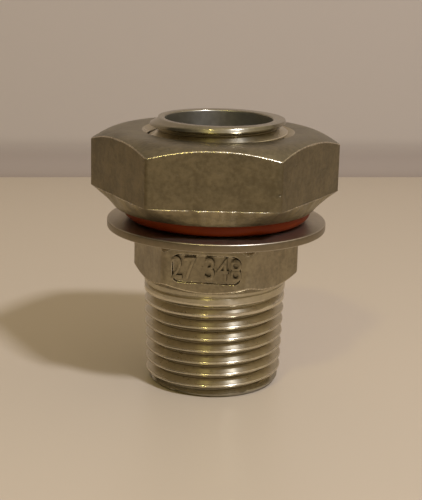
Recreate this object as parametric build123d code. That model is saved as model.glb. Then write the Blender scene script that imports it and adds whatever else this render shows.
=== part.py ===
from build123d import *
import math
import os

# A weldless bulkhead fitting in stainless steel, standing on its lower thread.
# Millimetres. The origin is the centre of the nipple's lower end face, +Z runs up the bore
# and -Y points out of the hexagon face that carries the cast panel.

# Pipe thread, half inch, fourteen turns to the inch, sixty degree flanks, one in sixteen taper.
thread_pitch = 25.4 / 14
thread_depth = 1.35
thread_taper = 1 / 32
thread_flank = 30
root_flat = 0.08
runout_turns = 0.8
runout_end_turns = 0.05
shoulder_overlap = 1.0
lower_chamfer_radial = 0.95
upper_chamfer_radial = 0.45
start_chamfer_length = 1.15

# Hexagon nipple. The wall is the metal left between the bore and the thread's first groove,
# and the flats and the turned lands are given by how far they stand out beyond the thread.
lower_thread_length = 16.2
nipple_hex_height = 7.7
upper_thread_length = 16.4
bore_radius = 8.0
bore_edge_break = 0.2
nipple_wall = 0.9
hex_flat_beyond_thread = 0.75
hex_top_land_beyond_thread = 1.15
hex_bottom_land_beyond_thread = 0.65
hex_top_chamfer_angle = 56
hex_bottom_chamfer_angle = 34
lower_thread_start_angle = 59.9
upper_thread_start_angle = 157.1

# Cast panel on one face of the nipple's hexagon.
panel_width = 10.4
panel_height = 4.7
panel_depth = 0.3
panel_corner = 1.1

# Flat washer that rests on the hexagon.
washer_beyond_thread = 6.15
washer_thickness = 1.2
washer_hole_clearance = 0.16
washer_edge_round = 0.15

# Silicone ring in the seat under the locknut.
ring_section_radius = 1.6
ring_thread_clearance = 0.18
ring_washer_gap = 0.25
ring_seat_clearance = 0.05

# Locknut.
nut_flat_beyond_thread = 5.85
nut_corner_radius = 0.7
nut_turn = 5.0
seat_depth = 1.4
seat_wall = 0.8
skirt_height = 2.55
flat_height = 8.7
nut_top_land_inset = 0.8
nut_top_chamfer_angle = 28
nut_top_blend = 6.0
countersink_beyond_thread = 1.05
internal_thread_clearance = 0.12
internal_tip_flat = 0.2
internal_tip_gap = 0.28
sleeve_wall = 1.2

# Levels and radii that follow from the sizes above.
thread_end_radius = bore_radius + nipple_wall + thread_depth
nipple_across_flats = 2 * (thread_end_radius + hex_flat_beyond_thread)
hex_top_land_radius = thread_end_radius + hex_top_land_beyond_thread
hex_bottom_land_radius = thread_end_radius + hex_bottom_land_beyond_thread
washer_outer_radius = thread_end_radius + washer_beyond_thread
nut_across_flats = 2 * (thread_end_radius + nut_flat_beyond_thread)
nut_top_land_radius = nut_across_flats / 2 - nut_top_land_inset
countersink_radius = thread_end_radius + countersink_beyond_thread
hex_bottom_level = lower_thread_length
hex_top_level = lower_thread_length + nipple_hex_height
nipple_length = hex_top_level + upper_thread_length
washer_top_level = hex_top_level + washer_thickness
ring_bottom_level = washer_top_level + ring_washer_gap
ring_centre_level = ring_bottom_level + ring_section_radius
ring_top_level = ring_centre_level + ring_section_radius


def crest_radius(from_end):
    # Crest radius of the tapered thread at a distance from its free end.
    return thread_end_radius + thread_taper * from_end


ring_inner_radius = crest_radius(nipple_length - ring_bottom_level) + ring_thread_clearance
ring_centre_radius = ring_inner_radius + ring_section_radius
seat_radius = ring_centre_radius + ring_section_radius + ring_seat_clearance
seat_level = ring_top_level + ring_seat_clearance
rim_level = seat_level - seat_depth
rim_radius = seat_radius + seat_wall
flat_bottom_level = rim_level + skirt_height
nut_top_level = flat_bottom_level + flat_height
flank = math.tan(math.radians(thread_flank))


def hexagon_corner_radius(across_flats):
    return across_flats / math.sqrt(3)


def helix_cutter(start_radius, start_level, turns, growth, profile):
    # Sweeps a groove profile along a right-hand helix that starts on the +X side. The profile
    # is a list of points given as radial offset and axial offset from the path, and growth is
    # the radius gained per mm of rise.
    rise = turns * thread_pitch
    slope = math.degrees(math.atan(growth))
    line = Helix(thread_pitch, rise, start_radius, direction=(0, 0, 1), cone_angle=slope)
    line = Pos(0, 0, start_level) * line
    start = line @ 0
    section_plane = Plane(origin=start, x_dir=(1, 0, 0), z_dir=(0, -1, 0))
    section = section_plane * make_face(Polyline(*profile, close=True))
    return sweep(section, path=line, is_frenet=True)


def outer_groove_profile(depth):
    half = root_flat / 2
    over = 0.5
    wide = half + flank * (depth + over)
    return [(-depth, -half), (-depth, half), (over, wide), (over, -wide)]


def threaded_end(length, start_angle, chamfer_radial):
    # One threaded end with its free end at level zero and its shoulder at the given length.
    # The groove is cut in a longer blank, which is then turned down to the end's own outline.
    extra = 3 * thread_pitch
    shoulder_radius = crest_radius(length)
    long_outline = Polyline(
        (0, -extra),
        (crest_radius(-extra), -extra),
        (shoulder_radius, length),
        (shoulder_radius, length + shoulder_overlap),
        (0, length + shoulder_overlap),
        close=True,
    )
    threaded = revolve(Plane.XZ * make_face(long_outline), Axis.Z)
    start_level = -2 * thread_pitch
    full_turns = (length - start_level) / thread_pitch - runout_turns - runout_end_turns
    profile = outer_groove_profile(thread_depth)
    start_radius = crest_radius(start_level)
    threaded = threaded - helix_cutter(start_radius, start_level, full_turns, thread_taper, profile)
    # The run-out lifts out of the metal within less than one turn.
    runout_level = start_level + full_turns * thread_pitch
    lift = (thread_depth + 0.1) / (runout_turns * thread_pitch)
    runout = helix_cutter(crest_radius(runout_level), runout_level, runout_turns, lift, profile)
    threaded = threaded - Rot(0, 0, full_turns * 360) * runout
    # The start is chamfered so that a mating thread finds its way on.
    end_radius = thread_end_radius - chamfer_radial
    wide = shoulder_radius + start_chamfer_length
    slope = (crest_radius(start_chamfer_length) - end_radius) / start_chamfer_length
    wide_level = (wide - end_radius) / slope
    outline = Polyline(
        (0, 0),
        (end_radius, 0),
        (wide, wide_level),
        (wide, length + shoulder_overlap),
        (0, length + shoulder_overlap),
        close=True,
    )
    threaded = threaded & revolve(Plane.XZ * make_face(outline), Axis.Z)
    return Rot(0, 0, start_angle) * threaded


def chamfered_hexagon(across_flats, bottom, top, low_land, low_angle, high_land, high_angle):
    # Hexagon prism with a flat at -Y, its corners turned down at both ends.
    corner = hexagon_corner_radius(across_flats) + 1
    low_rise = (corner - low_land) * math.tan(math.radians(low_angle))
    high_drop = (corner - high_land) * math.tan(math.radians(high_angle))
    prism = extrude(RegularPolygon(across_flats / 2, 6, major_radius=False), top - bottom)
    prism = Pos(0, 0, bottom) * prism
    outline = Polyline(
        (0, bottom),
        (low_land, bottom),
        (corner, bottom + low_rise),
        (corner, top - high_drop),
        (high_land, top),
        (0, top),
        close=True,
    )
    return prism & revolve(Plane.XZ * make_face(outline), Axis.Z)


def make_nipple():
    body = chamfered_hexagon(
        nipple_across_flats,
        hex_bottom_level,
        hex_top_level,
        hex_bottom_land_radius,
        hex_bottom_chamfer_angle,
        hex_top_land_radius,
        hex_top_chamfer_angle,
    )
    lower = threaded_end(lower_thread_length, lower_thread_start_angle, lower_chamfer_radial)
    upper = threaded_end(upper_thread_length, upper_thread_start_angle, upper_chamfer_radial)
    upper = Pos(0, 0, nipple_length) * Rot(180, 0, 0) * upper
    body = body + lower + upper
    face_y = -nipple_across_flats / 2
    panel_level = (hex_bottom_level + hex_top_level) / 2 - 0.1
    panel_plane = Plane(origin=(0, face_y, panel_level), x_dir=(1, 0, 0), z_dir=(0, -1, 0))
    panel = panel_plane * RectangleRounded(panel_width, panel_height, panel_corner)
    body = body - extrude(panel, -panel_depth)
    bore = Cylinder(bore_radius, nipple_length, align=(Align.CENTER, Align.CENTER, Align.MIN))
    body = body - bore
    mouth = bore_radius + bore_edge_break
    low_break = Cone(mouth, bore_radius, bore_edge_break, align=(Align.CENTER, Align.CENTER, Align.MIN))
    high_break = Cone(bore_radius, mouth, bore_edge_break, align=(Align.CENTER, Align.CENTER, Align.MAX))
    return body - low_break - Pos(0, 0, nipple_length) * high_break


def tube(outer, inner, low, high):
    height = high - low
    solid = Cylinder(outer, height, align=(Align.CENTER, Align.CENTER, Align.MIN))
    solid = solid - Cylinder(inner, height, align=(Align.CENTER, Align.CENTER, Align.MIN))
    return Pos(0, 0, low) * solid


def make_washer():
    hole = crest_radius(upper_thread_length) + washer_hole_clearance
    ring = Cylinder(washer_outer_radius, washer_thickness, align=(Align.CENTER, Align.CENTER, Align.MIN))
    ring = ring - Cylinder(hole, washer_thickness, align=(Align.CENTER, Align.CENTER, Align.MIN))
    rims = ring.edges().filter_by(GeomType.CIRCLE).group_by(SortBy.RADIUS)[-1]
    ring = fillet(rims, washer_edge_round)
    return Pos(0, 0, hex_top_level) * ring


def make_ring():
    return Pos(0, 0, ring_centre_level) * Torus(ring_centre_radius, ring_section_radius)


def make_nut():
    corner = hexagon_corner_radius(nut_across_flats)
    # Flats, with a skirt below them that blends from the hexagon down to the round rim.
    prism = extrude(RegularPolygon(nut_across_flats / 2, 6, major_radius=False), flat_height)
    prism = Pos(0, 0, flat_bottom_level) * prism
    lines = []
    arcs = []
    for step in range(6):
        a = math.radians(60 * step)
        b = math.radians(60 + 60 * step)
        m = (a + b) / 2
        p = (corner * math.cos(a), corner * math.sin(a), flat_bottom_level)
        q = (corner * math.cos(b), corner * math.sin(b), flat_bottom_level)
        r = (rim_radius * math.cos(a), rim_radius * math.sin(a), rim_level)
        s = (rim_radius * math.cos(m), rim_radius * math.sin(m), rim_level)
        t = (rim_radius * math.cos(b), rim_radius * math.sin(b), rim_level)
        lines.append(Line(p, q))
        arcs.append(ThreePointArc(r, s, t))
    skirt = Solid.make_loft([Wire(arcs), Wire(lines)], ruled=True)
    body = prism + skirt
    # Rounded corners.
    outline = RegularPolygon(nut_across_flats / 2, 6, major_radius=False)
    outline = fillet(outline.vertices(), nut_corner_radius)
    trim = Pos(0, 0, rim_level - 1) * extrude(outline, nut_top_level - rim_level + 2)
    body = body & trim
    # Turned top: a flat land that rolls over into the chamfer.
    drop = (corner + 1 - nut_top_land_radius) * math.tan(math.radians(nut_top_chamfer_angle))
    turned = Polyline(
        (0, rim_level - 1),
        (corner + 1, rim_level - 1),
        (corner + 1, nut_top_level - drop),
        (nut_top_land_radius, nut_top_level),
        (0, nut_top_level),
        close=True,
    )
    turned = make_face(turned)
    shoulder = turned.vertices().sort_by(Axis.X)[2:3]
    turned = fillet(shoulder, nut_top_blend)
    body = body & revolve(Plane.XZ * turned, Axis.Z)
    seat = Cylinder(seat_radius, seat_depth, align=(Align.CENTER, Align.CENTER, Align.MIN))
    body = body - Pos(0, 0, rim_level) * seat
    # Threaded hole: the crests of the nipple's upper thread run in the groove of this sleeve,
    # which is grooved at more than its length, faced off at both ends and joined to the body.
    crest_at_seat = crest_radius(nipple_length - seat_level)
    root = crest_at_seat + internal_thread_clearance
    tip = crest_at_seat - thread_depth + internal_tip_gap
    sleeve_radius = root + sleeve_wall
    groove_top = thread_pitch / 2 - internal_tip_flat / 2
    groove_bottom = groove_top - flank * (root - tip)
    over = 0.5
    wide = groove_top + flank * over
    inner = tip - root - over
    profile = [(0, groove_bottom), (0, -groove_bottom), (inner, -wide), (inner, wide)]
    start_level = seat_level - 1.5 * thread_pitch
    turns = (nut_top_level - seat_level) / thread_pitch + 3
    low = seat_level - 2.5 * thread_pitch
    high = nut_top_level + 2.5 * thread_pitch
    sleeve = tube(sleeve_radius, tip, low, high) - helix_cutter(root, start_level, turns, 0, profile)
    sleeve = Rot(0, 0, nut_groove_angle(start_level) - nut_turn) * sleeve
    sleeve = sleeve & tube(sleeve_radius, tip - over, seat_level, nut_top_level)
    core = Cylinder(sleeve_radius, nut_top_level, align=(Align.CENTER, Align.CENTER, Align.MIN))
    body = body - core + sleeve
    sink_depth = countersink_radius - tip
    sink = Cone(tip, countersink_radius, sink_depth, align=(Align.CENTER, Align.CENTER, Align.MAX))
    body = body - Pos(0, 0, nut_top_level) * sink
    return body


def nut_groove_angle(level):
    # Angle about +Z at which a crest of the nipple's upper thread passes a level.
    depth_below_end = nipple_length - level
    local = upper_thread_start_angle + 360 * (depth_below_end / thread_pitch + 0.5)
    return -local


os.makedirs("parts", exist_ok=True)
nipple = make_nipple()
export_step(nipple, "parts/hex_nipple.step")
washer = make_washer()
export_step(washer, "parts/washer.step")
seal = make_ring()
export_step(seal, "parts/o_ring.step")
nut = make_nut()
nut = Rot(0, 0, nut_turn) * nut
export_step(nut, "parts/locknut.step")
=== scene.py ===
import math

import bmesh
import bpy
from mathutils import Matrix, Vector, noise


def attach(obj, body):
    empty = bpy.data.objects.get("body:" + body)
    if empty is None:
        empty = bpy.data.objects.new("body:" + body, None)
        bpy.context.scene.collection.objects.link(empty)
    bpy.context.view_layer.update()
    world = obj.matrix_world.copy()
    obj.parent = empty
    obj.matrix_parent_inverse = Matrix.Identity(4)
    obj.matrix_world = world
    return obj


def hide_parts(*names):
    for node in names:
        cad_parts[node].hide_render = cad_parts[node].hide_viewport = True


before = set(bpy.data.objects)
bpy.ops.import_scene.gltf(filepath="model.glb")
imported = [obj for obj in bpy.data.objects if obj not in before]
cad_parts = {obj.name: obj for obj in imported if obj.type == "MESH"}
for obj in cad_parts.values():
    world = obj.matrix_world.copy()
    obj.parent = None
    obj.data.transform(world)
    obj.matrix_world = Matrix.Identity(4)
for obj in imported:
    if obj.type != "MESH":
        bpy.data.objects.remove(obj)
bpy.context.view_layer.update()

# Sizes in millimetres, as in the solids.
MM = 0.001
PITCH = 25.4 / 14
TAPER = 1 / 32
THREAD_END_RADIUS = 10.25
THREAD_DEPTH = 1.35
START_LENGTH = 1.15
LOWER_CHAMFER = 0.95
UPPER_CHAMFER = 0.45
LOWER_LENGTH = 16.2
HEX_TOP = 23.9
LENGTH = 40.3
LOWER_START = math.radians(59.9)
UPPER_START = math.radians(157.1)
BORE_RADIUS = 8.0
HEX_FLATS = 22.0
PANEL_LEVEL = 19.95
WASHER_RADIUS = 16.4
WASHER_HOLE = 10.9225
WASHER_TOP = 25.1
RING_BOTTOM = 25.35
RING_SECTION = 1.6
RING_CLEARANCE = 0.18
NUT_FLATS = 32.2
NUT_TURN = math.radians(6.4)
NUT_OFF_CENTRE = -0.42
RIM_LEVEL = 27.2
RIM_RADIUS = 14.947
SEAT_LEVEL = 28.6
SEAT_RADIUS = 14.147
FLAT_LEVEL = 29.75
NUT_TOP = 38.45
NUT_TOP_LAND = 15.3
NUT_TOP_SLOPE = math.radians(28)
NUT_TOP_BLEND = 6.0
NUT_EDGE = 0.28
NUT_CORNER = 0.7
SINK_RADIUS = 11.3


def crest_radius(from_end):
    return THREAD_END_RADIUS + TAPER * from_end


# Camera, where it stood for the photograph.
SIDE_ANGLE = math.radians(6.63)
CAMERA_SPOT = (0, -173.709, 66.052)
CAMERA_DIP = math.radians(13.361)
CAMERA_ROLL = math.radians(1.478)
FOCAL_PIXELS = 1184.567
CENTRE_PIXEL = (216.29, 219.47)
FRAME_PIXELS = (422, 500)
AROUND = Matrix.Rotation(SIDE_ANGLE, 4, "Z")


def place_camera():
    data = bpy.data.cameras.new("camera")
    cam = bpy.data.objects.new("camera", data)
    bpy.context.scene.collection.objects.link(cam)
    bpy.context.scene.camera = cam
    tilt = Matrix.Rotation(math.pi / 2 - CAMERA_DIP, 4, "X")
    roll = Matrix.Rotation(CAMERA_ROLL, 4, "Z")
    spot = Matrix.Translation(Vector(CAMERA_SPOT) * MM)
    cam.matrix_world = AROUND @ spot @ tilt @ roll
    width, height = FRAME_PIXELS
    data.sensor_width = 36
    data.lens = FOCAL_PIXELS * data.sensor_width / height
    data.shift_x = (width / 2 - CENTRE_PIXEL[0]) / height
    data.shift_y = (CENTRE_PIXEL[1] - height / 2) / height
    data.clip_start = 0.005
    data.clip_end = 20


place_camera()


# Shape helpers, in millimetres until a piece is finished.
def turn_about_z(bm, angle):
    bmesh.ops.rotate(bm, cent=(0, 0, 0), matrix=Matrix.Rotation(angle, 3, "Z"), verts=bm.verts)


def merge_and_orient(bm):
    bmesh.ops.remove_doubles(bm, verts=bm.verts, dist=1e-4)
    bmesh.ops.recalc_face_normals(bm, faces=bm.faces)


def chain(bm, points, closed=False):
    # A row of vertices in the XZ plane, joined by edges, as the start of a turned shape.
    verts = [bm.verts.new((x, 0, z)) for x, z in points]
    edges = [bm.edges.new(pair) for pair in zip(verts, verts[1:])]
    if closed:
        edges.append(bm.edges.new((verts[-1], verts[0])))
    return verts + edges


def lathe(points, steps=256, closed=True):
    bm = bmesh.new()
    bmesh.ops.spin(
        bm, geom=chain(bm, points, closed), cent=(0, 0, 0), axis=(0, 0, 1),
        angle=2 * math.pi, steps=steps, use_merge=True)
    merge_and_orient(bm)
    return bm


def screw(points, turns, steps_per_turn, closed=False):
    # Carries an outline up a right-hand screw line that starts on the +X side: one turn is spun,
    # and its copies follow one pitch above each other.
    bm = bmesh.new()
    bmesh.ops.spin(
        bm, geom=chain(bm, points, closed), cent=(0, 0, 0), axis=(0, 0, 1),
        dvec=(0, 0, PITCH / steps_per_turn), angle=2 * math.pi, steps=steps_per_turn, use_merge=False)
    first_turn = bm.verts[:] + bm.edges[:] + bm.faces[:]
    for i in range(1, turns):
        copy = bmesh.ops.duplicate(bm, geom=first_turn)["geom"]
        verts = [g for g in copy if isinstance(g, bmesh.types.BMVert)]
        bmesh.ops.translate(bm, vec=(0, 0, i * PITCH), verts=verts)
    bmesh.ops.remove_doubles(bm, verts=bm.verts, dist=1e-3)
    return bm


def bevel(bm, edges, width, segments):
    return bmesh.ops.bevel(
        bm, geom=edges, offset=width, offset_type="OFFSET", segments=segments, profile=0.5,
        affect="EDGES", clamp_overlap=False, material=-1)["faces"]


def sharp_edges(bm, angle):
    return [e for e in bm.edges if len(e.link_faces) == 2 and e.calc_face_angle(0) > angle]


def set_radius(v, radius):
    k = radius / math.hypot(v.co.x, v.co.y)
    v.co.x *= k
    v.co.y *= k


def hexagon_prism(flats, bottom, top, corner_width, segments):
    bm = bmesh.new()
    r = flats / math.sqrt(3)
    bmesh.ops.create_cone(bm, cap_ends=True, segments=6, radius1=r, radius2=r, depth=top - bottom)
    turn_about_z(bm, math.radians(30))
    bmesh.ops.translate(bm, vec=(0, 0, (top + bottom) / 2), verts=bm.verts)
    upright = [e for e in bm.edges if abs(e.verts[0].co.z - e.verts[1].co.z) > 0.5]
    bevel(bm, upright, corner_width, segments)
    return bm


def as_object(bm, name):
    mesh = bpy.data.meshes.new(name)
    bm.to_mesh(mesh)
    bm.free()
    o = bpy.data.objects.new(name, mesh)
    bpy.context.scene.collection.objects.link(o)
    return o


def drop_object(o):
    data = o.data
    bpy.data.objects.remove(o)
    bpy.data.meshes.remove(data)


def evaluated_mesh(o):
    bpy.context.view_layer.update()
    return bpy.data.meshes.new_from_object(o.evaluated_get(bpy.context.evaluated_depsgraph_get()))


def combine(first, operation, *others):
    # Cuts or trims one closed shape by others.
    base = as_object(first, "base")
    tools = [as_object(bm, "tool") for bm in others]
    for tool in tools:
        m = base.modifiers.new(operation, "BOOLEAN")
        m.operation = operation
        m.solver = "EXACT"
        m.object = tool
    mesh = evaluated_mesh(base)
    bm = bmesh.new()
    bm.from_mesh(mesh)
    bpy.data.meshes.remove(mesh)
    for o in tools + [base]:
        drop_object(o)
    return bm


def add_into(target, source):
    mesh = bpy.data.meshes.new("part")
    source.to_mesh(mesh)
    source.free()
    target.from_mesh(mesh)
    bpy.data.meshes.remove(mesh)


def finish_piece(name, bm, materials, smooth_angle):
    # Smooth-shaded piece in metres whose flat faces keep flat shading up to their rounded edges.
    bmesh.ops.scale(bm, vec=(MM, MM, MM), verts=bm.verts)
    for f in bm.faces:
        f.smooth = True
    o = as_object(bm, name)
    for m in materials:
        o.data.materials.append(m)
    o.data.set_sharp_from_angle(angle=smooth_angle)
    weight = o.modifiers.new("weight", "WEIGHTED_NORMAL")
    weight.keep_sharp = True
    mesh = evaluated_mesh(o)
    o.modifiers.clear()
    old = o.data
    o.data = mesh
    bpy.data.meshes.remove(old)
    mesh.name = name
    return o


# Shader helper: a socket with arithmetic.
class Socket:
    def __init__(self, shader, socket):
        self.shader = shader
        self.socket = socket

    def math(self, operation, *values):
        return self.shader.node("ShaderNodeMath", {"operation": operation}, dict(enumerate((self,) + values)))

    def __add__(self, v):
        return self.math("ADD", v)

    def __radd__(self, v):
        return self.math("ADD", v)

    def __sub__(self, v):
        return self.math("SUBTRACT", v)

    def __rsub__(self, v):
        return self.math("MULTIPLY", -1.0) + v

    def __mul__(self, v):
        return self.math("MULTIPLY", v)

    def __rmul__(self, v):
        return self.math("MULTIPLY", v)

    def between(self, low, high):
        # 0 below low, 1 above high, smooth between.
        return self.shader.node(
            "ShaderNodeMapRange", {"interpolation_type": "SMOOTHSTEP"},
            {"Value": self, "From Min": low, "From Max": high}, "Result")


class Shader:
    def __init__(self, name, tree=None):
        if tree is None:
            self.material = bpy.data.materials.new(name)
            self.material.use_nodes = True
            tree = self.material.node_tree
            self.bsdf = tree.nodes["Principled BSDF"]
        self.tree = tree

    def fill(self, node, values):
        for key, value in values.items():
            if isinstance(value, Socket):
                self.tree.links.new(value.socket, node.inputs[key])
            elif isinstance(value, tuple) and len(value) == 3 and node.inputs[key].type == "RGBA":
                node.inputs[key].default_value = (*value, 1)
            else:
                node.inputs[key].default_value = value

    def node(self, kind, settings, values, output=0):
        n = self.tree.nodes.new(kind)
        for key, value in settings.items():
            setattr(n, key, value)
        self.fill(n, values)
        return Socket(self, n.outputs[output])

    def place(self, stretch=(1, 1, 1)):
        at = self.node("ShaderNodeTexCoord", {}, {}, "Object")
        return self.node("ShaderNodeVectorMath", {"operation": "MULTIPLY"}, {0: at, 1: stretch})

    def noise(self, size, detail=3.0, rough=0.55, stretch=(1, 1, 1)):
        # A noise whose features are about size millimetres across.
        values = {"Scale": 1 / (size * MM), "Detail": detail, "Roughness": rough}
        return self.node("ShaderNodeTexNoise", {}, {"Vector": self.place(stretch), **values})

    def mix(self, factor, a, b):
        return self.node("ShaderNodeMix", {"data_type": "RGBA"}, {0: factor, 6: a, 7: b}, 2)

    def bump(self, height, depth, under=None):
        # Raises the surface by the height times depth, in millimetres.
        values = {"Height": height, "Distance": depth * MM, "Strength": 1.0}
        if under:
            values["Normal"] = under
        return self.node("ShaderNodeBump", {}, values)

    def finish(self, **values):
        self.fill(self.bsdf, {key.replace("_", " "): value for key, value in values.items()})
        return self.material


def scaled(colour, k):
    return tuple(min(1.0, c * k) for c in colour)


# Finishes, some in lighter or darker copies that paint highlight, shade or reflection.
def cast_steel(name, tone, grain, rough):
    # Tumbled casting: fine grain, a faint waviness, cloudy tone and a few dark pits.
    s = Shader(name)
    fine = s.noise(0.22, 2.0)
    coarse = s.noise(0.6, 3.0)
    wave = s.noise(3.2, 2.0)
    pits = s.noise(0.9, 2.0, 0.6).between(0.70, 0.80)
    normal = s.bump(wave, 0.12)
    normal = s.bump(coarse * 0.5 + fine * 0.5, 0.07 * grain, normal)
    normal = s.bump(pits, -0.05, normal)
    cloud = (wave * 0.5 + coarse * 0.5).between(0.3, 0.7)
    colour = s.mix(cloud, scaled(tone, 0.74), scaled(tone, 1.22))
    colour = s.mix(pits * 0.6, colour, scaled(tone, 0.4))
    return s.finish(Base_Color=colour, Metallic=1.0, Roughness=rough + coarse * 0.16, Normal=normal)


def turned_steel(name, tone, rough, ring_depth, spread):
    # Turned surface: fine rings round the axis stretch each glint along the axis.
    s = Shader(name)
    rings = s.noise(0.12, 2.0, 0.6, stretch=(0.02, 0.02, 1))
    wear = s.noise(0.8, 3.0)
    normal = s.bump(rings, ring_depth)
    normal = s.bump(wear, 0.006, normal)
    colour = s.mix(wear.between(0.3, 0.7), scaled(tone, 0.92), scaled(tone, 1.05))
    return s.finish(
        Base_Color=colour, Metallic=1.0, Roughness=rough + wear * 0.10, Normal=normal,
        Anisotropic=spread, Anisotropic_Rotation=0.25)


def silicone():
    s = Shader("silicone")
    cloud = s.noise(2.5, 2.0)
    colour = s.mix(cloud, (0.155, 0.018, 0.0010), (0.21, 0.031, 0.002))
    normal = s.bump(s.noise(0.4, 2.0), 0.01)
    return s.finish(Base_Color=colour, Roughness=0.45, Specular_IOR_Level=0.12, Normal=normal)


cast_nut = cast_steel("cast_nut", (0.225, 0.188, 0.115), 1.0, 0.34)
cast_hex = cast_steel("cast_hex", (0.345, 0.295, 0.20), 0.8, 0.34)
nut_top = cast_steel("nut_top", (0.235, 0.205, 0.135), 1.5, 0.26)
# Skirt: the cast nut steel in a lighter tone, a painted reflection of the lit washer and table.
nut_skirt_painted_reflection = cast_steel("nut_skirt_painted_reflection", (0.285, 0.24, 0.15), 1.0, 0.34)
worn_edge = cast_steel("worn_edge", (0.54, 0.48, 0.36), 1.2, 0.18)
# Dark tone for the sides of the raised numbers: painted shade.
digit_side_shade = cast_steel("digit_side_shade", (0.14, 0.12, 0.085), 1.0, 0.45)
turned_thread = turned_steel("turned_thread", (0.54, 0.485, 0.355), 0.24, 0.001, 0.88)
# Crests: a lighter copy of the turned steel, painted highlight.
crest_painted_highlight = turned_steel("crest_painted_highlight", (0.68, 0.62, 0.49), 0.17, 0.0005, 0.6)
# Groove floors: a darker copy of the turned steel, painted shade.
root_painted_shade = turned_steel("root_painted_shade", (0.36, 0.315, 0.22), 0.26, 0.001, 0.6)
# Thread ends: turned steel in a darker tone, a painted reflection of a dark room.
turned_end_painted_shade = turned_steel("turned_end_painted_shade", (0.36, 0.33, 0.25), 0.16, 0.001, 0.3)
# Bore: rougher rings, and a tone of its own that paints in how much light reaches inside the bore.
bored_steel_painted_light = turned_steel("bored_steel_painted_light", (0.40, 0.38, 0.32), 0.36, 0.006, 0.3)
washer_steel = turned_steel("washer_steel", (0.48, 0.425, 0.335), 0.32, 0.003, 0.1)
# Rim: the washer steel in a darker tone, painted shade over the rim's reflection.
washer_rim_painted_shade = turned_steel("washer_rim_painted_shade", (0.26, 0.215, 0.145), 0.32, 0.003, 0.1)
rubber = silicone()

# Which finish, with its painted highlight, shade or reflection, a face of the nipple, the washer or the
# locknut has.
NIPPLE_FINISHES = (
    turned_thread, crest_painted_highlight, root_painted_shade, turned_end_painted_shade, bored_steel_painted_light, cast_hex, worn_edge, digit_side_shade)
FLANK, CREST, ROOT, END, BORE, CAST, WORN, DIGIT_SIDE_SHADE = range(len(NIPPLE_FINISHES))
WASHER_FINISHES = (washer_steel, washer_rim_painted_shade)
FLAT, RIM = range(len(WASHER_FINISHES))
NUT_FINISHES = (cast_nut, nut_top, turned_thread, worn_edge, nut_skirt_painted_reflection)
NUT_SIDE, NUT_LAND, NUT_THREAD, NUT_WORN, NUT_SKIRT = range(len(NUT_FINISHES))

# Thread of the nipple. The section runs over one pitch from one groove floor to the next and is
# given as depth below the crest line and height.
CREST_HALF = 0.17
FLOOR_HALF = 0.04
CREST_ROUND = 0.15
FLANK_STEPS = 7
RUN_OUT = 3.0
NECK = RUN_OUT / 2
# The next two depths set the band of painted highlight on the crests and of painted shade in the groove
# floors.
CREST_HIGHLIGHT = 0.03
FLOOR_SHADE = 0.14
THREAD_STEPS = 120
BLANK_RADIUS = 20.0
LEAST_DEPTH = 0.02
MOUTH = ((0.75, 0.0), (0.22, 0.0), (0.1, 0.04), (0.03, 0.12), (0.0, 0.24), (0.0, 4.0), (0.0, LENGTH / 2))


def thread_section():
    middle = PITCH / 2
    rise = middle - CREST_HALF - FLOOR_HALF
    points = [(THREAD_DEPTH, 0.0)]
    for i in range(FLANK_STEPS):
        t = i / FLANK_STEPS
        points.append((THREAD_DEPTH * (1 - t) + CREST_ROUND * t, FLOOR_HALF + rise * t))
    for i in range(4):
        a = math.radians(30 * i)
        points.append((CREST_ROUND * (1 - math.sin(a)), middle - CREST_HALF * math.cos(a)))
    mirrored = [(d, PITCH - z) for d, z in points[:-1]]
    return points + mirrored[::-1]


def lifted_thread(length, start_angle, chamfer):
    # The screw surface with its free end at level zero: tapered, chamfered at the start, and
    # lifting out of the metal before the shoulder.
    first = -2 * PITCH
    turns = math.ceil(length / PITCH) + 4
    slope = (chamfer + TAPER * START_LENGTH) / START_LENGTH
    bm = screw([(BLANK_RADIUS - d, z + first) for d, z in thread_section()], turns, THREAD_STEPS)
    for v in bm.verts:
        depth = BLANK_RADIUS - math.hypot(v.co.x, v.co.y)
        in_section = (v.co.z - first - PITCH * math.atan2(v.co.y, v.co.x) / (2 * math.pi)) % PITCH
        groove = v.co.z - in_section if in_section < PITCH / 2 else v.co.z + PITCH - in_section
        lift = THREAD_DEPTH * max(0.0, (groove - length + RUN_OUT) / RUN_OUT)
        radius = crest_radius(v.co.z) - max(min(depth, LEAST_DEPTH), depth - lift)
        start = THREAD_END_RADIUS - chamfer + max(0.0, v.co.z) * slope
        set_radius(v, min(radius, start))
    for f in bm.faces:
        f.material_index = thread_finish(f, length)
    turn_about_z(bm, start_angle)
    return bm


def thread_finish(face, length):
    # Crests in a lighter tone as painted highlight, groove floors in a darker tone as painted shade, the
    # turned end in a darker tone as a painted dark reflection, and a plain turned neck.
    at = face.calc_center_median()
    depth = crest_radius(at.z) - at.xy.length
    if at.z > length - NECK:
        return FLANK
    # Both ends get the darker tone: painted dark reflection.
    if at.z < START_LENGTH:
        return END
    # Crests get the painted highlight.
    if depth < CREST_ROUND + CREST_HIGHLIGHT:
        return CREST
    # Groove floors get the painted shade.
    return ROOT if depth > THREAD_DEPTH - FLOOR_SHADE else FLANK


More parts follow.
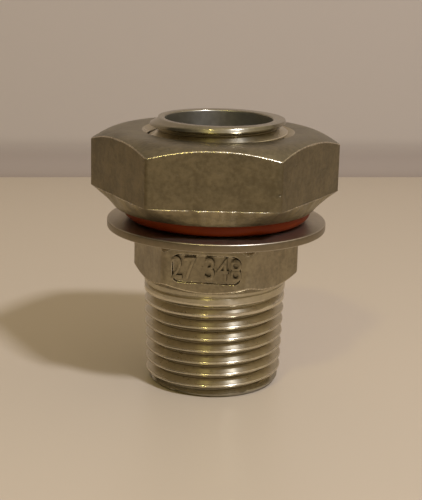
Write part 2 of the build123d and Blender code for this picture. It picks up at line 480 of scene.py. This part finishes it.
def threaded_end(length, start_angle, chamfer, inside):
    bm = lifted_thread(length, start_angle, chamfer)
    for level, side in ((0, -1), (length + inside, 1)):
        bmesh.ops.bisect_plane(
            bm, geom=bm.verts[:] + bm.edges[:] + bm.faces[:], dist=1e-5,
            plane_co=(0, 0, level), plane_no=(0, 0, side), clear_outer=True)
    rim = [e for e in bm.edges if e.is_boundary and max(abs(v.co.z) for v in e.verts) < 1e-3]
    # End face, the broken edge of the bore and the bore up to the middle of the nipple.
    for beyond_bore, level in MOUTH:
        made = bmesh.ops.extrude_edge_only(bm, edges=rim)["geom"]
        rim = [g for g in made if isinstance(g, bmesh.types.BMEdge)]
        for v in (g for g in made if isinstance(g, bmesh.types.BMVert)):
            set_radius(v, BORE_RADIUS + beyond_bore)
            v.co.z = level
    return bm


# Hexagon of the nipple with its cast panel.
HEX_CORNER = 0.8
HEX_EDGE = 0.13
HEX_WIDE = 14.5
HEX_INSIDE = 9
HEX_LOW_LAND = 10.72
HEX_LOW_SLOPE = math.tan(math.radians(34))
HEX_TOP_LAND = 11.4
HEX_TOP_SLOPE = math.tan(math.radians(56))
PANEL_SIZE = (10.4, 2.0, 4.7)
PANEL_CORNER = 1.1
PANEL_DRAFT = (0.93, 1, 0.86)
PANEL_DEPTH = 0.3


def panel_tool():
    bm = bmesh.new()
    bmesh.ops.create_cube(bm, size=1.0)
    bmesh.ops.scale(bm, vec=PANEL_SIZE, verts=bm.verts)
    deep = [e for e in bm.edges if abs(e.verts[0].co.y - e.verts[1].co.y) > 0.5]
    bevel(bm, deep, PANEL_CORNER, 8)
    inner = [v for v in bm.verts if v.co.y > 0]
    bmesh.ops.scale(bm, vec=PANEL_DRAFT, verts=inner)
    centre = -HEX_FLATS / 2 + PANEL_DEPTH - PANEL_SIZE[1] / 2
    bmesh.ops.translate(bm, vec=(0, centre, PANEL_LEVEL), verts=bm.verts)
    return bm


def hexagon_body():
    body = hexagon_prism(HEX_FLATS, LOWER_LENGTH, HEX_TOP, HEX_CORNER, 5)
    outline = (
        (HEX_INSIDE, LOWER_LENGTH), (HEX_LOW_LAND, LOWER_LENGTH),
        (HEX_WIDE, LOWER_LENGTH + (HEX_WIDE - HEX_LOW_LAND) * HEX_LOW_SLOPE),
        (HEX_WIDE, HEX_TOP - (HEX_WIDE - HEX_TOP_LAND) * HEX_TOP_SLOPE),
        (HEX_TOP_LAND, HEX_TOP), (HEX_INSIDE, HEX_TOP))
    bm = combine(body, "INTERSECT", lathe(outline, 288))
    bm = combine(bm, "DIFFERENCE", panel_tool())
    for f in bm.faces:
        f.material_index = CAST
    rims = [e for e in sharp_edges(bm, math.radians(14)) if e.verts[0].co.xy.length > HEX_INSIDE + 0.5]
    for f in bevel(bm, rims, HEX_EDGE, 3):
        f.material_index = WORN
    return bm


DIGIT_HEIGHT = 3.5
DIGIT_STRETCH = (0.74, 0.95, 1.0)
DIGIT_DEPTH = 0.26
DIGIT_ROUND = 0.07
DIGIT_SINK = 0.17
DIGIT_LEVEL = PANEL_LEVEL - 0.05
FONT_SIZE_PER_HEIGHT = 1.38
DIGITS = "27 348"


def raised_digits():
    # Plain raised numbers in the panel, with painted shade on their sides.
    curve = bpy.data.curves.new("digits", "FONT")
    curve.body = DIGITS
    curve.align_x = "CENTER"
    curve.align_y = "CENTER"
    curve.size = DIGIT_HEIGHT * FONT_SIZE_PER_HEIGHT
    curve.space_character = 1.04
    curve.extrude = DIGIT_DEPTH
    curve.bevel_depth = DIGIT_ROUND
    curve.bevel_resolution = 1
    o = bpy.data.objects.new("digits", curve)
    bpy.context.scene.collection.objects.link(o)
    mesh = evaluated_mesh(o)
    bpy.data.objects.remove(o)
    bm = bmesh.new()
    bm.from_mesh(mesh)
    bpy.data.meshes.remove(mesh)
    merge_and_orient(bm)
    bmesh.ops.scale(bm, vec=DIGIT_STRETCH, verts=bm.verts)
    bmesh.ops.rotate(bm, cent=(0, 0, 0), matrix=Matrix.Rotation(math.pi / 2, 3, "X"), verts=bm.verts)
    bmesh.ops.translate(bm, vec=(0, -HEX_FLATS / 2 + DIGIT_SINK, DIGIT_LEVEL), verts=bm.verts)
    bm.normal_update()
    for f in bm.faces:
        # Front faces of the numbers keep the cast tone; their sides get painted shade.
        f.material_index = CAST if f.normal.y < -0.8 else DIGIT_SIDE_SHADE
    return bm


THREAD_OVERLAP = 0.3
BORE_EDGE = 0.05


def hex_nipple():
    bm = bmesh.new()
    add_into(bm, threaded_end(LOWER_LENGTH, LOWER_START, LOWER_CHAMFER, THREAD_OVERLAP))
    upper = threaded_end(LENGTH - HEX_TOP, UPPER_START, UPPER_CHAMFER, THREAD_OVERLAP)
    bmesh.ops.rotate(upper, cent=(0, 0, 0), matrix=Matrix.Rotation(math.pi, 3, "X"), verts=upper.verts)
    bmesh.ops.translate(upper, vec=(0, 0, LENGTH), verts=upper.verts)
    add_into(bm, upper)
    for f in bm.faces:
        if f.calc_center_median().xy.length < BORE_RADIUS + BORE_EDGE:
            # Faces in the bore get the bore steel with its painted light.
            f.material_index = BORE
    add_into(bm, hexagon_body())
    merge_and_orient(bm)
    add_into(bm, raised_digits())
    return bm


nipple_piece = finish_piece("hex_nipple_look", hex_nipple(), NIPPLE_FINISHES, math.radians(35))


# Washer.
WASHER_EDGE = 0.2


def washer():
    bm = lathe((
        (WASHER_HOLE, HEX_TOP), (WASHER_RADIUS, HEX_TOP),
        (WASHER_RADIUS, WASHER_TOP), (WASHER_HOLE, WASHER_TOP)))
    bevel(bm, sharp_edges(bm, math.radians(30)), WASHER_EDGE, 4)
    for f in bm.faces:
        # Rim faces get the darker tone: painted shade.
        f.material_index = RIM if abs(f.normal.z) < 0.3 else FLAT
    return bm


washer_piece = finish_piece("washer_look", washer(), WASHER_FINISHES, math.radians(40))


# Silicone ring.
def ring():
    inner = crest_radius(LENGTH - RING_BOTTOM) + RING_CLEARANCE
    bm = bmesh.new()
    bmesh.ops.create_circle(bm, segments=40, radius=RING_SECTION)
    bmesh.ops.rotate(bm, cent=(0, 0, 0), matrix=Matrix.Rotation(math.pi / 2, 3, "X"), verts=bm.verts)
    bmesh.ops.translate(bm, vec=(inner + RING_SECTION, 0, RING_BOTTOM + RING_SECTION), verts=bm.verts)
    bmesh.ops.spin(
        bm, geom=bm.verts[:] + bm.edges[:], cent=(0, 0, 0), axis=(0, 0, 1),
        angle=2 * math.pi, steps=200, use_merge=True)
    merge_and_orient(bm)
    return bm


ring_piece = finish_piece("o_ring_look", ring(), [rubber], math.radians(60))

# Locknut.
LIP_STEPS = ((0.0, 0.0), (0.06, 0.0), (0.12, -0.05), (0.15, -0.13), (0.12, -0.24))
LIP_FADE = math.radians(9)
SECTOR = math.pi / 3
SECTOR_STEPS = 72
CORNER_SHARE = 1 / 9
CORNER_CENTRE = (NUT_FLATS / 2 - NUT_CORNER) / math.cos(SECTOR / 2)
CORNER_REACH = math.atan2(NUT_CORNER * 0.5, CORNER_CENTRE + NUT_CORNER * math.cos(SECTOR / 2)) / SECTOR
EDGE_STEPS = 6
TOP_STEPS = 14
BLANK_HOLE = 8.5
UNEVEN_SCALE = 14.0
UNEVEN_PLACE = Vector((0, 0, 3.0))
RIM_ROUND = ((0.14, 0.0), (0.03, 0.04))
SKIRT_STEPS = (0.05, 0.35, 0.7)
TURNED_TILT = 0.86
LIP_HEIGHT = 0.12


def uneven(angle, from_corner):
    # How far the rough lower edge of the flats stands out, from 0 at a corner to 1.
    along = Vector((math.cos(angle), math.sin(angle), 0)) * UNEVEN_SCALE
    fade = min(1.0, from_corner / LIP_FADE)
    return fade * max(0.0, min(1.0, 0.6 + 1.1 * noise.noise(along + UNEVEN_PLACE)))


def spread(t):
    # Share of a sixth of a turn that step share t stands for, with more steps at the corners.
    if t > 0.5:
        return 1 - spread(1 - t)
    if t < CORNER_SHARE:
        return t / CORNER_SHARE * CORNER_REACH
    return CORNER_REACH + (t - CORNER_SHARE) / (0.5 - CORNER_SHARE) * (0.5 - CORNER_REACH)


def flat_radius(from_corner):
    # Distance from the axis to the hexagon's rounded outline.
    if from_corner < CORNER_REACH * SECTOR:
        aside = CORNER_CENTRE * math.sin(from_corner)
        return CORNER_CENTRE * math.cos(from_corner) + math.sqrt(NUT_CORNER ** 2 - aside ** 2)
    return NUT_FLATS / 2 / math.cos(SECTOR / 2 - from_corner)


def top_surface(radius, sunk=0.0):
    # Level and tilt of the turned top at a radius: flat land, blend and chamfer.
    centre = NUT_TOP_LAND - NUT_TOP_BLEND * math.tan(NUT_TOP_SLOPE / 2)
    blend = NUT_TOP_BLEND - sunk
    end = centre + blend * math.sin(NUT_TOP_SLOPE)
    tilt = math.asin(max(0.0, min(radius, end) - centre) / blend)
    beyond = max(0.0, radius - end) * math.tan(NUT_TOP_SLOPE)
    return NUT_TOP - NUT_TOP_BLEND + blend * math.cos(tilt) - beyond, tilt


def nut_section(angle, from_corner):
    # Outline of the nut in one direction, from its rim up over the edge to the top land.
    lip = uneven(angle, from_corner)
    flat = flat_radius(from_corner)
    lip_points = [(flat + out * lip, FLAT_LEVEL + rise * lip) for out, rise in LIP_STEPS]
    low_radius, low_level = lip_points[-1]
    points = [(RIM_RADIUS - inside, RIM_LEVEL + above) for inside, above in RIM_ROUND]
    for share in SKIRT_STEPS:
        out = share * (low_radius - RIM_RADIUS)
        points.append((RIM_RADIUS + out, RIM_LEVEL + share * (low_level - RIM_LEVEL)))
    points += lip_points[::-1]
    centre_level, tilt = top_surface(flat - NUT_EDGE, NUT_EDGE)
    points.append((flat, (FLAT_LEVEL + centre_level) / 2))
    for i in range(EDGE_STEPS + 1):
        a = math.pi / 2 + (tilt - math.pi / 2) * i / EDGE_STEPS
        points.append((flat - NUT_EDGE + NUT_EDGE * math.sin(a), centre_level + NUT_EDGE * math.cos(a)))
    start = points[-1][0]
    for i in range(1, TOP_STEPS + 1):
        radius = start + (BLANK_HOLE - start) * i / TOP_STEPS
        points.append((radius, top_surface(radius)[0]))
    return points


def nut_blank():
    # A tube of plain rows, each then put in its place on the nut's outline.
    rows = len(nut_section(0.0, 0.0))
    steps = 6 * SECTOR_STEPS
    bm = bmesh.new()
    bmesh.ops.spin(
        bm, geom=chain(bm, [(1, row) for row in range(rows)]), cent=(0, 0, 0), axis=(0, 0, 1),
        angle=2 * math.pi, steps=steps, use_merge=True)
    sections = []
    for step in range(steps):
        sixth, t = divmod(step / SECTOR_STEPS, 1)
        within = spread(t)
        angle = (sixth + within) * SECTOR
        sections.append((angle, nut_section(angle, min(within, 1 - within) * SECTOR)))
    for v in bm.verts:
        step = round(math.atan2(v.co.y, v.co.x) / (2 * math.pi) * steps) % steps
        angle, section = sections[step]
        radius, level = section[round(v.co.z)]
        v.co = (radius * math.cos(angle), radius * math.sin(angle), level)
    bmesh.ops.holes_fill(bm, edges=[e for e in bm.edges if e.is_boundary], sides=0)
    merge_and_orient(bm)
    return bm


NUT_ROOT = crest_radius(LENGTH - SEAT_LEVEL) + 0.12
NUT_TIP = crest_radius(LENGTH - SEAT_LEVEL) - THREAD_DEPTH + 0.28
NUT_GROOVE_FLOOR = 0.12
NUT_GROOVE_INSIDE = 0.15
NUT_GROOVE_ANGLE = math.radians(30)
NUT_GROOVE_STEPS = 72
BEYOND = 1


def nut_hole_outline():
    # Seat of the ring, the core of the thread and the countersink, each with a rounded mouth.
    seat_mouth = SEAT_RADIUS + 0.14
    sink_mouth = SINK_RADIUS + 0.16
    return (
        (0, RIM_LEVEL - BEYOND), (seat_mouth, RIM_LEVEL - BEYOND), (seat_mouth, RIM_LEVEL),
        (SEAT_RADIUS + 0.04, RIM_LEVEL + 0.04), (SEAT_RADIUS, RIM_LEVEL + 0.14), (SEAT_RADIUS, SEAT_LEVEL),
        (NUT_TIP, SEAT_LEVEL), (NUT_TIP, NUT_TOP - SINK_RADIUS + NUT_TIP),
        (SINK_RADIUS - 0.12, NUT_TOP - 0.12), (SINK_RADIUS + 0.02, NUT_TOP - 0.03),
        (sink_mouth, NUT_TOP), (sink_mouth, NUT_TOP + BEYOND), (0, NUT_TOP + BEYOND))


def nut_groove():
    # Screw-shaped cutter for the thread in the nut, in step with the nipple's upper thread.
    inner = NUT_TIP - NUT_GROOVE_INSIDE
    wide = NUT_GROOVE_FLOOR + (NUT_ROOT - inner) * math.tan(NUT_GROOVE_ANGLE)
    level = SEAT_LEVEL - 1.5 * PITCH
    section = ((NUT_ROOT, -NUT_GROOVE_FLOOR), (NUT_ROOT, NUT_GROOVE_FLOOR), (inner, wide), (inner, -wide))
    turns = math.ceil((NUT_TOP - SEAT_LEVEL) / PITCH) + 3
    bm = screw([(x, z + level) for x, z in section], turns, NUT_GROOVE_STEPS, closed=True)
    bmesh.ops.holes_fill(bm, edges=[e for e in bm.edges if e.is_boundary], sides=0)
    merge_and_orient(bm)
    turn_about_z(bm, -UPPER_START - 2 * math.pi * ((LENGTH - level) / PITCH + 0.5))
    return bm


def locknut():
    blank = nut_blank()
    turn_about_z(blank, NUT_TURN)
    bmesh.ops.translate(blank, vec=AROUND @ Vector((NUT_OFF_CENTRE, 0, 0)), verts=blank.verts)
    bm = combine(blank, "DIFFERENCE", lathe(nut_hole_outline(), 256, closed=False), nut_groove())
    for f in bm.faces:
        f.material_index = nut_finish(f)
    return bm


def nut_finish(face):
    # Cast sides, turned top, threaded hole, edges worn bright, and a skirt in a lighter tone that is painted
    # reflection.
    at = face.calc_center_median()
    if at.xy.length < SINK_RADIUS:
        return NUT_THREAD
    if face.normal.z > TURNED_TILT:
        return NUT_LAND
    at_top = at.z > FLAT_LEVEL + 2 and face.normal.z > 0.1
    at_lip = FLAT_LEVEL - LIP_HEIGHT < at.z < FLAT_LEVEL + 0.01
    if at_top or at_lip:
        return NUT_WORN
    # Below the flats the skirt takes its lighter tone: painted reflection.
    return NUT_SKIRT if at.z < FLAT_LEVEL else NUT_SIDE


nut_piece = finish_piece("locknut_look", locknut(), NUT_FINISHES, math.radians(35))

for piece, body, node, slot in (
        (nipple_piece, "fitting", "hex_nipple", "nipple_steel"),
        (washer_piece, "fitting", "washer", "washer_steel"),
        (ring_piece, "seal", "o_ring", "silicone"),
        (nut_piece, "nut", "locknut", "nut_steel")):
    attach(piece, body)
    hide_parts(node)

# Table, wall and light.
WALL_AWAY = 164
WALL_YAW = math.radians(7.5)
WALL_FOOT = 8
WALL_FOOT_STEPS = 8
WALL_ABOVE_TABLE = 0.1
WALL_HEIGHT = 300
STAGE_HALF = 1500
LAMP_AIM = Vector((0, 0, 0.02))
WALL_TURN = Matrix.Translation((0, WALL_AWAY, 0)) @ Matrix.Rotation(WALL_YAW, 4, "Z")


def sheet(name, outline, material, place):
    # A plain surface: an outline of (away, level) carried sideways.
    bm = bmesh.new()
    verts = [bm.verts.new((-STAGE_HALF, away, level)) for away, level in outline]
    edges = [bm.edges.new(pair) for pair in zip(verts, verts[1:])]
    made = bmesh.ops.extrude_edge_only(bm, edges=edges)["geom"]
    moved = [g for g in made if isinstance(g, bmesh.types.BMVert)]
    bmesh.ops.translate(bm, vec=(2 * STAGE_HALF, 0, 0), verts=moved)
    bmesh.ops.transform(bm, matrix=Matrix.Scale(MM, 4) @ AROUND @ place, verts=bm.verts)
    for f in bm.faces:
        f.smooth = True
    o = as_object(bm, name)
    o.data.materials.append(material)
    return o


def table_material():
    s = Shader("table")
    return s.finish(Base_Color=(0.515, 0.435, 0.335), Roughness=0.34, Specular_IOR_Level=0.45)


def wall_material():
    # Pale wall with painted shade along its foot. From behind it is clear, so that it hides nothing.
    s = Shader("wall")
    level = s.node("ShaderNodeSeparateXYZ", {}, {0: s.place()}, "Z")
    # Darker below about 11 mm above the table: painted shade at the wall's foot.
    colour = s.mix(level.between(0.004, 0.011), (0.33, 0.275, 0.235), (0.48, 0.42, 0.365))
    s.finish(Base_Color=colour, Roughness=0.8, Specular_IOR_Level=0.1)
    clear = s.node("ShaderNodeBsdfTransparent", {}, {})
    behind = s.node("ShaderNodeNewGeometry", {}, {}, "Backfacing")
    shown = s.node("ShaderNodeMixShader", {}, {0: behind, 1: Socket(s, s.bsdf.outputs[0]), 2: clear})
    s.fill(s.tree.nodes["Material Output"], {"Surface": shown})
    return s.material


def wall_outline():
    arc = []
    for i in range(WALL_FOOT_STEPS + 1):
        a = math.pi / 2 * i / WALL_FOOT_STEPS
        arc.append((WALL_FOOT * (math.sin(a) - 1), WALL_FOOT * (1 - math.cos(a)) + WALL_ABOVE_TABLE))
    return arc + [(0, WALL_HEIGHT)]


sheet("floor", ((-STAGE_HALF, 0), (STAGE_HALF, 0)), table_material(), Matrix.Identity(4))
sheet("backdrop", wall_outline(), wall_material(), WALL_TURN)


def lamp(name, spot, size, power, colour):
    data = bpy.data.lights.new(name, "AREA")
    data.size = size
    data.energy = power
    data.color = colour
    o = bpy.data.objects.new(name, data)
    o.location = AROUND @ Vector(spot)
    o.rotation_mode = "QUATERNION"
    o.rotation_quaternion = (LAMP_AIM - o.location).to_track_quat("-Z", "Y")
    bpy.context.scene.collection.objects.link(o)


def direction(azimuth, elevation, distance):
    # Azimuth from the side of the camera towards its right, elevation, and distance in metres.
    a, e = math.radians(azimuth), math.radians(elevation)
    return Vector((math.sin(a) * math.cos(e), -math.cos(a) * math.cos(e), math.sin(e))) * distance


lamp("window", direction(38.5, 52, 0.55), 0.05, 2.3, (0.85, 0.87, 1.0))
lamp("ceiling_lamp", direction(-19.6, 50, 0.8), 0.06, 0.75, (1.0, 0.90, 0.34))


def room():
    # Soft light from above, dim towards the horizon and on the left.
    world = bpy.data.worlds.new("room")
    bpy.context.scene.world = world
    world.use_nodes = True
    s = Shader("room", world.node_tree)
    up = s.node("ShaderNodeTexCoord", {}, {}, "Generated")
    level = s.node("ShaderNodeSeparateXYZ", {}, {0: up}, "Z")
    side = s.node("ShaderNodeSeparateXYZ", {}, {0: up}, "X")
    colour = s.mix(level.between(-0.1, 0.9), (0.075, 0.060, 0.038), (0.76, 0.635, 0.45))
    colour = s.mix(side.between(-0.9, 0.3), s.mix(0.85, colour, (0, 0, 0)), colour)
    s.fill(world.node_tree.nodes["Background"], {"Color": colour, "Strength": 1.0})


room()
bpy.context.scene.view_settings.view_transform = "Standard"
